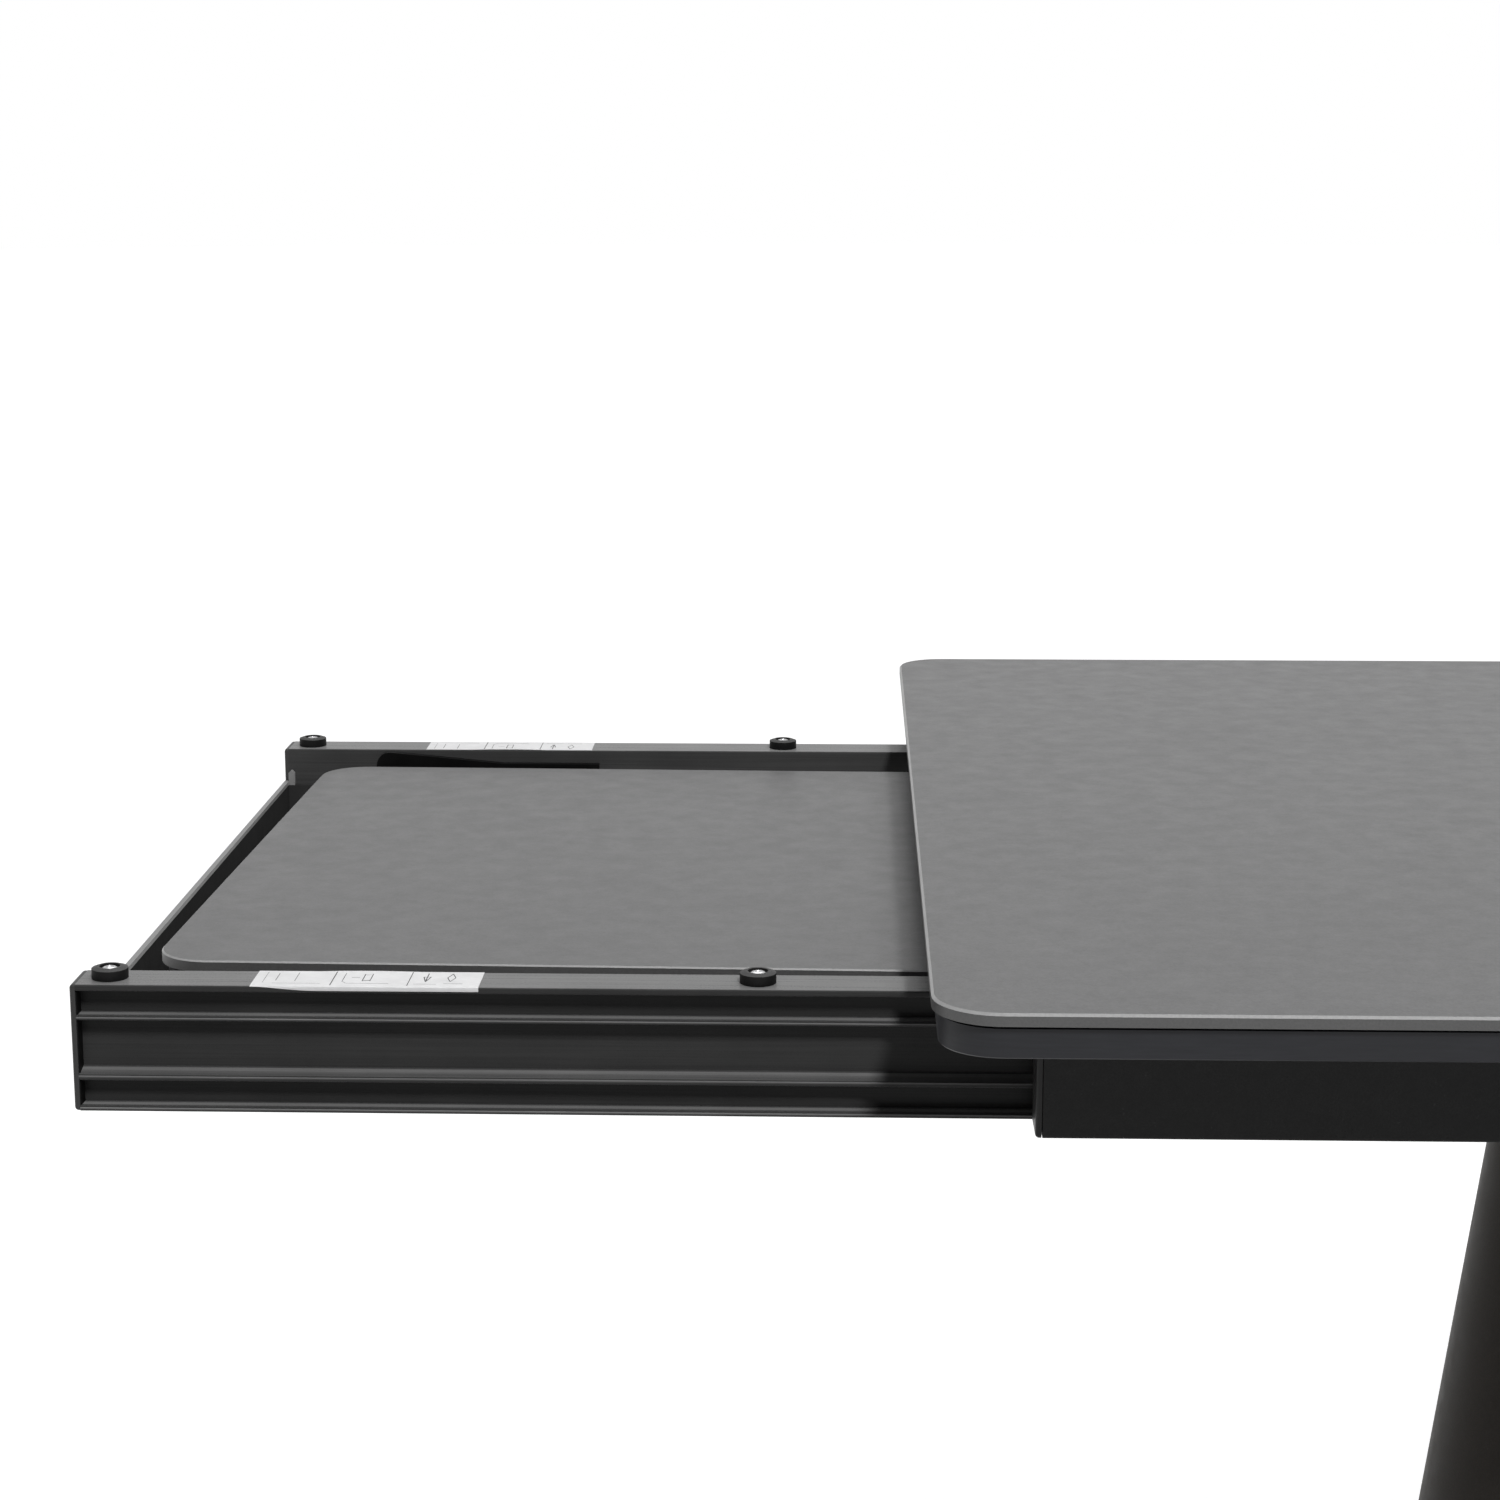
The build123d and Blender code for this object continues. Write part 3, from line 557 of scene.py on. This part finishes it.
def cross_cutter(seat, top):
    """Tapered cross that sinks the driver's recess into a screw's head."""
    bm = bmesh.new()
    rims = []
    for height, taper in ((top + CUTTER_RISE, 1), (top - CROSS_DEPTH, 2)):
        arm, half = CROSS_ARM / taper, CROSS_HALF_WIDTH / taper
        quarter = [(arm, -half), (arm, half), (half, half)]
        rim = []
        for _ in range(4):
            rim += quarter
            quarter = [(-y, x) for x, y in quarter]
        rims.append([bm.verts.new(seat + Vector((x, y, height))) for x, y in rim])
    upper, lower = rims
    bm.faces.new(upper)
    bm.faces.new(reversed(lower))
    bridge(bm, lower, upper)
    bmesh.ops.recalc_face_normals(bm, faces=bm.faces)
    mesh = bpy.data.meshes.new("cutter")
    bm.to_mesh(mesh)
    bm.free()
    return mesh


def add_screw(node, seat, finishes):
    """Domed screw head with a cross recess, in the recess of its bumper."""
    radius, chamfer = SCREW_HEAD_RADIUS, SCREW_FOOT_CHAMFER
    profile = [(0, 0), (radius - chamfer, 0), (radius, chamfer), (radius, SCREW_RIM)]
    for step in range(1, SCREW_DOME_STEPS):
        turn = step / SCREW_DOME_STEPS * math.pi / 2
        profile.append((radius * math.cos(turn), SCREW_RIM + SCREW_DOME * math.sin(turn)))
    top = SCREW_RIM + SCREW_DOME
    profile.append((0, top))
    metal = [finishes["zinc_screw"]]
    piece = add_piece(
        f"{node}_head", turned(profile, seat), metal, EXTENSION, [node]
    )

    cutter = bpy.data.objects.new("cutter", cross_cutter(seat, top))
    bpy.context.scene.collection.objects.link(cutter)
    sink = piece.modifiers.new("recess", "BOOLEAN")
    sink.object = cutter
    sink.operation = "DIFFERENCE"
    sink.solver = "EXACT"
    bpy.context.view_layer.update()
    seen = piece.evaluated_get(bpy.context.evaluated_depsgraph_get())
    cut = bpy.data.meshes.new_from_object(seen)
    piece.modifiers.clear()
    piece.data = cut
    smoothed(cut)
    bpy.data.objects.remove(cutter)


def add_bumpers(finishes):
    for side in SIDES:
        for number in (1, 2):
            seat = add_bumper(f"bumper_{number}_{side}", finishes)
            add_screw(f"bumper_screw_{number}_{side}", seat, finishes)


# ---------------------------------------------------------------- paper labels
PAPER = 0.2 * MM
PAPER_GAP = 0.01 * MM          # paper's underside above the rail
RAIL_EDGE_RADIUS = 1.1 * MM
LABEL_SET_BACK = 0.5 * MM      # paper's back edge from the rail's inner edge
LABEL_FOLD = 2.7 * MM          # paper's greatest reach past the start of the rounded edge
LABEL_START = 0.9 * MM         # its reach at the label's left end
LABEL_SETTLE = 0.28            # share of the label's length before it reaches furthest
LABEL_LIFT = 0.35 * MM         # height of the wave in the middle of its back edge
WAVE_HALF_LENGTH = 0.22        # against the label's length
WAVE_WIDTH = 0.25              # against its flat width
INK_HEIGHT = 0.02 * MM
LABEL_COLUMNS, LABEL_ROWS = 58, 30

# Thin ruled marks, each from one (u, v) to another and with the pen's width in mm: u runs
# along the label from its left end, and v across it from its back edge.
LABEL_STROKES = (
    (0.045, 0.08, 0.045, 0.8, 0.2), (0.348, 0.04, 0.348, 0.96, 0.45),
    (0.685, 0.04, 0.685, 0.96, 0.42), (0.098, 0.17, 0.098, 0.66, 0.34),
    (0.183, 0.12, 0.183, 0.68, 0.3), (0.09, 0.84, 0.3, 0.84, 0.26),
    (0.392, 0.15, 0.392, 0.7, 0.3), (0.392, 0.7, 0.41, 0.8, 0.3),
    (0.41, 0.82, 0.6, 0.82, 0.32), (0.425, 0.42, 0.462, 0.42, 0.4),
    (0.479, 0.18, 0.479, 0.66, 0.45), (0.513, 0.18, 0.513, 0.66, 0.4),
    (0.479, 0.24, 0.513, 0.24, 0.34), (0.479, 0.62, 0.513, 0.62, 0.65),
    (0.758, 0.12, 0.758, 0.6, 0.5), (0.742, 0.36, 0.758, 0.68, 0.5),
    (0.774, 0.36, 0.758, 0.68, 0.5), (0.742, 0.36, 0.774, 0.36, 0.5),
    (0.71, 0.84, 0.81, 0.84, 0.32), (0.866, 0.14, 0.848, 0.4, 0.45),
    (0.848, 0.4, 0.866, 0.66, 0.45), (0.866, 0.66, 0.884, 0.4, 0.45),
    (0.884, 0.4, 0.866, 0.14, 0.45), (0.84, 0.8, 0.925, 0.8, 0.36),
)


class Paper:
    """A thin paper label on a rail's top, which may fold over the rail's outer edge."""

    def __init__(self, side):
        self.node = f"label_{side}"
        self.low, self.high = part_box(self.node)
        rail_low, rail_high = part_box(f"rail_{side}")
        self.outward = -1.0 if side == "front" else 1.0
        inner, outer = sorted((abs(rail_low.y), abs(rail_high.y)))
        self.back = inner + LABEL_SET_BACK
        self.flat = outer - RAIL_EDGE_RADIUS - self.back
        self.length = self.high.x - self.low.x

    def point(self, u, reach, height):
        """The point u along the label, and reach across it from its back edge."""
        turn = min(max(0.0, (reach - self.flat) / RAIL_EDGE_RADIUS), math.pi / 2)
        hanging = max(0.0, reach - self.flat - RAIL_EDGE_RADIUS * math.pi / 2)
        radius = RAIL_EDGE_RADIUS + height
        y = self.back + min(reach, self.flat) + radius * math.sin(turn)
        z = self.low.z - RAIL_EDGE_RADIUS + radius * math.cos(turn) - hanging
        crown = max(0.0, 1 - ((u - 0.5) / WAVE_HALF_LENGTH) ** 2)
        edge = max(0.0, 1 - reach / (WAVE_WIDTH * self.flat)) ** 2
        z += LABEL_LIFT * crown * edge
        return Vector((self.low.x + u * self.length, self.outward * y, z))

    def sheet(self, bm, fold, height):
        """One face of the paper, as columns of vertices along its length."""
        made = []
        for column in range(LABEL_COLUMNS + 1):
            u = column / LABEL_COLUMNS
            settle = min(1.0, u / LABEL_SETTLE)
            settle = settle * settle * (3 - 2 * settle)
            reach = self.flat + (LABEL_START + (LABEL_FOLD - LABEL_START) * settle) * fold
            shares = [row / LABEL_ROWS for row in range(LABEL_ROWS + 1)]
            made.append([bm.verts.new(self.point(u, reach * share, height)) for share in shares])
        return made

    def stroke(self, bm, u0, v0, u1, v1, width):
        """A thin ruled mark, just above the paper."""
        along = Vector(((u1 - u0) * self.length, (v1 - v0) * self.flat))
        across = Vector((-along.y, along.x)).normalized() * width * MM / 2
        corners = []
        for u, v, way in ((u0, v0, 1), (u1, v1, 1), (u1, v1, -1), (u0, v0, -1)):
            place = (u + way * across.x / self.length, v * self.flat + way * across.y)
            corners.append(bm.verts.new(self.point(*place, PAPER + INK_HEIGHT)))
        bm.faces.new(corners).material_index = 1


def add_label(side, fold, finishes):
    """Paper label with ruled marks; fold is the share of the full fold over the rail's edge."""
    paper = Paper(side)
    bm = bmesh.new()
    upper, lower = [paper.sheet(bm, fold, height) for height in (PAPER, PAPER_GAP)]
    for sheet in (upper, lower):
        for here, there in zip(sheet, sheet[1:]):
            for row in range(LABEL_ROWS):
                bm.faces.new((here[row], there[row], there[row + 1], here[row + 1]))
    rims = []
    for sheet in (upper, lower):
        ends = [column[0] for column in sheet] + sheet[-1][1:]
        ends += [column[-1] for column in reversed(sheet[:-1])] + sheet[0][-2:0:-1]
        rims.append(ends)
    bridge(bm, *rims)
    for stroke in LABEL_STROKES:
        paper.stroke(bm, *stroke)
    materials = [finishes["white_label"], finishes["ink"]]
    add_piece(f"{paper.node}_paper", bm, materials, EXTENSION, [paper.node])


# ---------------------------------------------------------------- pads inside the rail caps
GROOVES_BELOW_RAIL_TOP_MM = ((3.3, 15.8), (18.2, 45.9), (48.8, 61.9))
PAD_THICKNESS = 0.5 * MM
PAD_SET_BACK = 1.3 * MM        # from the rail's outer face
PAD_CORNER = 1.2 * MM
PAD_CORNER_STEPS = 5


def add_cap_pad(side, finishes):
    """Black pads on the cap's inner face, one in the mouth of each groove of the rail."""
    rail_low, rail_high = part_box(f"rail_{side}")
    outward = -1.0 if side == "front" else 1.0
    outer = abs(rail_low.y if side == "front" else rail_high.y)
    near, far = outer - PAD_SET_BACK, outer - GROOVE_DEPTH
    edge = near - PAD_CORNER
    bm = bmesh.new()
    for top, bottom in GROOVES_BELOW_RAIL_TOP_MM:
        high, low = rail_high.z - top * MM, rail_high.z - bottom * MM
        outline = [(far, low), (far, high)]
        outline += arc((edge, high - PAD_CORNER), PAD_CORNER, 90, 0, PAD_CORNER_STEPS)
        outline += arc((edge, low + PAD_CORNER), PAD_CORNER, 0, -90, PAD_CORNER_STEPS)
        faces = []
        for x in (rail_low.x, rail_low.x + PAD_THICKNESS):
            faces.append(bm.faces.new([bm.verts.new((x, outward * y, z)) for y, z in outline]))
        bridge(bm, *[list(face.verts) for face in faces])
    black = [finishes["guide_plastic"]]
    add_piece(f"rail_cap_pad_{side}", bm, black, EXTENSION)


# ---------------------------------------------------------------- stage
FLOOR_RADIUS = 30.0
FLOOR_SEGMENTS = 96
FLOOR_GREY = 0.42              # what the floor throws back on the object
FLOOR_CLOUDS = 0.01            # how far its grey wanders
FLOOR_LIFT = (0.80, 0.94)      # how far the floor is lifted towards white for the camera,
FLOOR_LIFT_REACH = (1.6, 4.0)  # inside the first distance and beyond the second one
KEY_TOWARDS = Vector((0.285, -0.866, 1.0))
KEY_DISTANCE = 9.0
KEY_SIZE = (0.4, 1.8)
KEY_WATTS = 600.0
TOP_PLACE = Vector((0.3, 0.9, 2.6))    # from the top's front left corner
TOP_SIZE = (3.4, 2.2)
TOP_WATTS = 59.0
AMBIENT = 0.30                 # the room as a light, against the room in reflections
FRONT_SHARE = 0.5              # brightness of the room's front wall, against its back wall
WALL_SPAN = (-0.6, 0.2)        # the view's Y between the front wall and the back wall
CEILING_SHARE = 0.52           # brightness of the ceiling, against the walls
CEILING_SPAN = (0.22, 0.36)    # the view's Z between the walls and the ceiling


def add_floor():
    """Matt floor that looks white but throws back only a part of the light."""
    mesh = bpy.data.meshes.new("floor")
    bm = bmesh.new()
    bmesh.ops.create_circle(bm, cap_ends=True, segments=FLOOR_SEGMENTS, radius=FLOOR_RADIUS)
    bm.to_mesh(mesh)
    bm.free()
    floor = bpy.data.objects.new("floor", mesh)
    bpy.context.scene.collection.objects.link(floor)

    finish = Finish("pale_floor")
    cloud = finish.noise(0.8, 3.0)
    distance = finish.node("ShaderNodeVectorMath", {0: finish.place}, operation="LENGTH")
    lift = finish.ranged(distance.outputs["Value"], FLOOR_LIFT_REACH, FLOOR_LIFT)
    _, shown = finish.ray_kinds()
    finish.set(
        Base_Color=finish.mixed(cloud, FLOOR_GREY - FLOOR_CLOUDS, FLOOR_GREY + FLOOR_CLOUDS),
        Roughness=finish.spread(cloud, 0.8, 0.9),
        Specular_IOR_Level=0.1,
        Emission_Color=colour(1.0),
        Emission_Strength=finish.product(shown, lift),
    )
    mesh.materials.append(finish.material)


def add_world():
    """White studio for the camera; its front wall is darker in reflections and as light."""
    world = bpy.data.worlds.new("studio")
    world.use_nodes = True
    graph = Graph(world.node_tree)
    camera_ray, shown = graph.ray_kinds()
    direction = graph.node("ShaderNodeTexCoord").outputs["Generated"]
    parts = graph.node("ShaderNodeSeparateXYZ", {0: direction})
    strength = graph.maths(
        "MULTIPLY",
        graph.ranged(parts.outputs["Y"], WALL_SPAN, (FRONT_SHARE, 1.0)),
        graph.ranged(parts.outputs["Z"], CEILING_SPAN, (1.0, CEILING_SHARE)),
    )
    light = graph.ranged(shown, (0.0, 1.0), (AMBIENT, 1.0))
    strength = graph.maths("MULTIPLY", strength, light)
    strength = graph.maths("MAXIMUM", strength, camera_ray)
    background = graph.tree.nodes["Background"]
    graph.feed(background.inputs["Color"], colour(1.0))
    graph.feed(background.inputs["Strength"], strength)
    bpy.context.scene.world = world


def add_lamp(name, towards, distance, size, watts):
    """Rectangular soft light that faces the top's front left corner."""
    data = bpy.data.lights.new(name, "AREA")
    data.shape = "RECTANGLE"
    data.size, data.size_y = size
    data.energy = watts
    lamp = bpy.data.objects.new(name, data)
    lamp.location = front_left_corner + towards.normalized() * distance
    lamp.rotation_euler = towards.to_track_quat("Z", "Y").to_euler()
    bpy.context.scene.collection.objects.link(lamp)


# ---------------------------------------------------------------- the scene
finishes = make_finishes()
dress_frame(finishes)
add_bumpers(finishes)
add_label("front", 1.0, finishes)
add_label("back", 0.0, finishes)
for side in SIDES:
    add_cap_pad(side, finishes)
add_camera()
add_world()
add_floor()
add_lamp("key", KEY_TOWARDS, KEY_DISTANCE, KEY_SIZE, KEY_WATTS)
add_lamp("top_light", TOP_PLACE, TOP_PLACE.length, TOP_SIZE, TOP_WATTS)
bpy.context.scene.view_settings.view_transform = "Standard"
